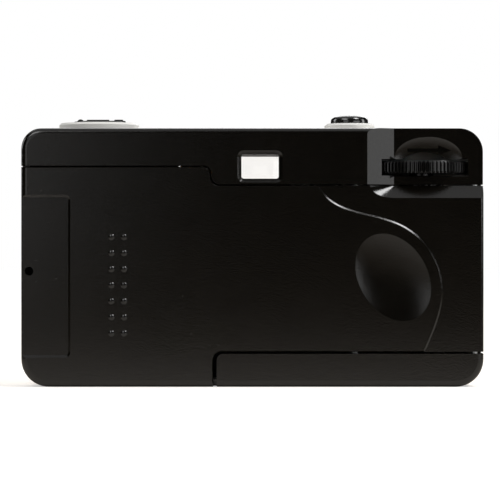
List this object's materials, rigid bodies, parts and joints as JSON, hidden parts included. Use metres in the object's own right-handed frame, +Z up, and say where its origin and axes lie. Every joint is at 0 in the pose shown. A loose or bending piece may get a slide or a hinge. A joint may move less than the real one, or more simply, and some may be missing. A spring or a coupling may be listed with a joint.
{
  "type": "reusable film camera",
  "caption": "Pocket reusable film camera with hinged back, thumb-wheel advance, fold-out rewind crank, leaf shutter, fixed lens, viewfinder and built-in flash.",
  "frame": {"origin": "under the middle of the camera, on the surface that it stands on", "axes": "+X towards the viewer's right hand, +Y where the lens looks, +Z up"},
  "size_m": [0.114, 0.0344, 0.0676],
  "materials": {
    "body_black": "fine moulded texture",
    "cover_grey": "satin",
    "inner_black": "matt",
    "wheel_black": "satin",
    "button_black": "polished",
    "crank_black": "satin",
    "bezel_black": "semi-gloss",
    "natural_plastic": "satin",
    "steel": "plain",
    "spring_steel": "plain",
    "blackened_metal": "matt",
    "nickel": "plated",
    "clear_plastic": "clear",
    "reflector": "bright",
    "lamp_orange": "clear",
    "board_green": "satin",
    "capacitor_sleeve": "smooth",
    "foam": "matt"
  },
  "bodies": {
    "camera_body": {"rear_housing": "body_black", "front_cover": "cover_grey", "chassis": "inner_black", "light_tunnel": "inner_black", "door_hinge_pin": "steel", "door_latch_spring": "spring_steel", "latch_spring_keeper": "inner_black", "counter_window": "clear_plastic", "counter_retaining_washer": "steel", "shutter_button_spring": "spring_steel", "shutter_button_guide": "inner_black", "lens_barrel": "inner_black", "rear_lens_element": "clear_plastic", "aperture_plate": "blackened_metal", "front_lens_element": "clear_plastic", "lens_retaining_ring": "inner_black", "lens_bezel": "bezel_black", "viewfinder_tube": "inner_black", "viewfinder_front_lens": "clear_plastic", "viewfinder_eyepiece": "clear_plastic", "flash_reflector": "reflector", "flash_tube": "clear_plastic", "flash_window": "clear_plastic", "flash_circuit_board": "board_green", "flash_capacitor": "capacitor_sleeve", "flash_ready_lamp": "lamp_orange", "flash_sync_contact": "nickel", "battery_tray": "inner_black", "battery_spring_contact": "nickel", "battery_plate_contact": "nickel", "rewind_release_spring": "spring_steel", "housing_screws": "steel"},
    "door": {"rear_door": "body_black", "strap_eyelet_insert": "body_black", "pressure_plate_spring": "spring_steel", "cartridge_leaf_spring": "spring_steel", "door_light_seals": "foam"},
    "film_plate": {"pressure_plate": "blackened_metal"},
    "latch": {"door_latch_slider": "body_black"},
    "advance": {"advance_thumbwheel": "wheel_black", "takeup_spool": "inner_black"},
    "sprocket": {"film_sprocket": "inner_black", "sprocket_shaft": "steel", "shutter_charge_cam": "natural_plastic", "counter_drive_finger": "natural_plastic"},
    "counter": {"frame_counter_disc": "natural_plastic"},
    "pawl": {"anti_reverse_pawl": "natural_plastic"},
    "striker": {"shutter_striker_lever": "natural_plastic"},
    "blade": {"shutter_blade": "blackened_metal"},
    "rocker": {"release_rocker": "inner_black"},
    "button": {"shutter_button": "button_black"},
    "rewind": {"rewind_shaft": "inner_black", "rewind_crank_hub": "crank_black", "crank_hinge_pin": "steel"},
    "crank_arm": {"rewind_crank_arm": "crank_black"},
    "crank_knob": {"rewind_crank_knob": "blackened_metal"},
    "flash_switch_body": {"flash_switch": "crank_black"},
    "lid": {"battery_lid": "cover_grey"},
    "release_button": {"rewind_release_button": "crank_black"}
  },
  "joints": [
    {"name": "door_hinge", "type": "hinge", "parent": "camera_body", "child": "door", "pos_m": [0.0551, -0.01085, 0.029], "axis": [0, 0, 1], "range_deg": [0, 100]},
    {"name": "film_plate_float", "type": "slide", "parent": "door", "child": "film_plate", "axis": [0, -1, 0], "range_m": [0, 0.0003], "stiffness_N_per_m": 200, "springref_m": -0.0005},
    {"name": "latch_slide", "type": "slide", "parent": "camera_body", "child": "latch", "axis": [0, 0, -1], "range_m": [0, 0.003], "stiffness_N_per_m": 60, "springref_m": -0.002, "deforming": ["door_latch_spring"]},
    {"name": "advance_spin", "type": "hinge", "parent": "camera_body", "child": "advance", "pos_m": [0.0423, -0.00465, 0.05425], "axis": [0, 0, 1], "continuous": true},
    {"name": "sprocket_spin", "type": "hinge", "parent": "camera_body", "child": "sprocket", "pos_m": [0.0255, -0.0072, 0.0433], "axis": [0, 0, 1], "continuous": true},
    {"name": "counter_spin", "type": "hinge", "parent": "camera_body", "child": "counter", "pos_m": [0.0342, 0.0012, 0.0592], "axis": [0, 0, 1], "continuous": true},
    {"name": "pawl_pivot", "type": "hinge", "parent": "camera_body", "child": "pawl", "pos_m": [0.033, 0.00435, 0.0502], "axis": [0, 0, 1], "range_deg": [0, 10], "stiffness_Nm_per_rad": 0.0002, "springref_deg": -5.73},
    {"name": "striker_pivot", "type": "hinge", "parent": "camera_body", "child": "striker", "pos_m": [0.0116, -0.0016, 0.0485], "axis": [0, 0, 1], "range_deg": [0, 30], "stiffness_Nm_per_rad": 0.0005, "springref_deg": -11.46},
    {"name": "blade_pivot", "type": "hinge", "parent": "camera_body", "child": "blade", "pos_m": [0.0074, 0.00735, 0.0347], "axis": [0, -1, 0], "range_deg": [0, 38]},
    {"name": "shutter_button_press", "type": "slide", "parent": "camera_body", "child": "button", "axis": [0, 0, -1], "range_m": [0, 0.0018], "stiffness_N_per_m": 60, "springref_m": -0.003, "deforming": ["shutter_button_spring"]},
    {"name": "rocker_pivot", "type": "hinge", "parent": "camera_body", "child": "rocker", "pos_m": [0.0245, 0.0068, 0.0526], "axis": [1, 0, 0], "range_deg": [0, 15.5]},
    {"name": "rewind_spin", "type": "hinge", "parent": "camera_body", "child": "rewind", "pos_m": [-0.0385, -0.00235, 0.06], "axis": [0, 0, 1], "continuous": true},
    {"name": "crank_fold", "type": "hinge", "parent": "rewind", "child": "crank_arm", "pos_m": [-0.0431, -0.00235, 0.0656], "axis": [0, -1, 0], "range_deg": [0, 135]},
    {"name": "crank_knob_spin", "type": "hinge", "parent": "crank_arm", "child": "crank_knob", "pos_m": [-0.0336, -0.00235, 0.0644], "axis": [0, 0, 1], "continuous": true},
    {"name": "flash_switch_slide", "type": "slide", "parent": "camera_body", "child": "flash_switch_body", "axis": [0, 0, -1], "range_m": [0, 0.003]},
    {"name": "battery_lid_hinge", "type": "hinge", "parent": "camera_body", "child": "lid", "pos_m": [-0.02315, 0.0018, 0.00092], "axis": [0, 1, 0], "range_deg": [0, 95]},
    {"name": "rewind_release_press", "type": "slide", "parent": "camera_body", "child": "release_button", "axis": [0, 0, 1], "range_m": [0, 0.0012], "stiffness_N_per_m": 60, "springref_m": -0.002, "deforming": ["rewind_release_spring"]}
  ],
  "couplings": [
    {"joint": "counter_spin", "follows": "sprocket_spin", "ratio": -0.025},
    {"joint": "blade_pivot", "follows": "striker_pivot", "ratio": 1.24},
    {"joint": "rocker_pivot", "follows": "shutter_button_press", "rad_per_m": 149}
  ]
}
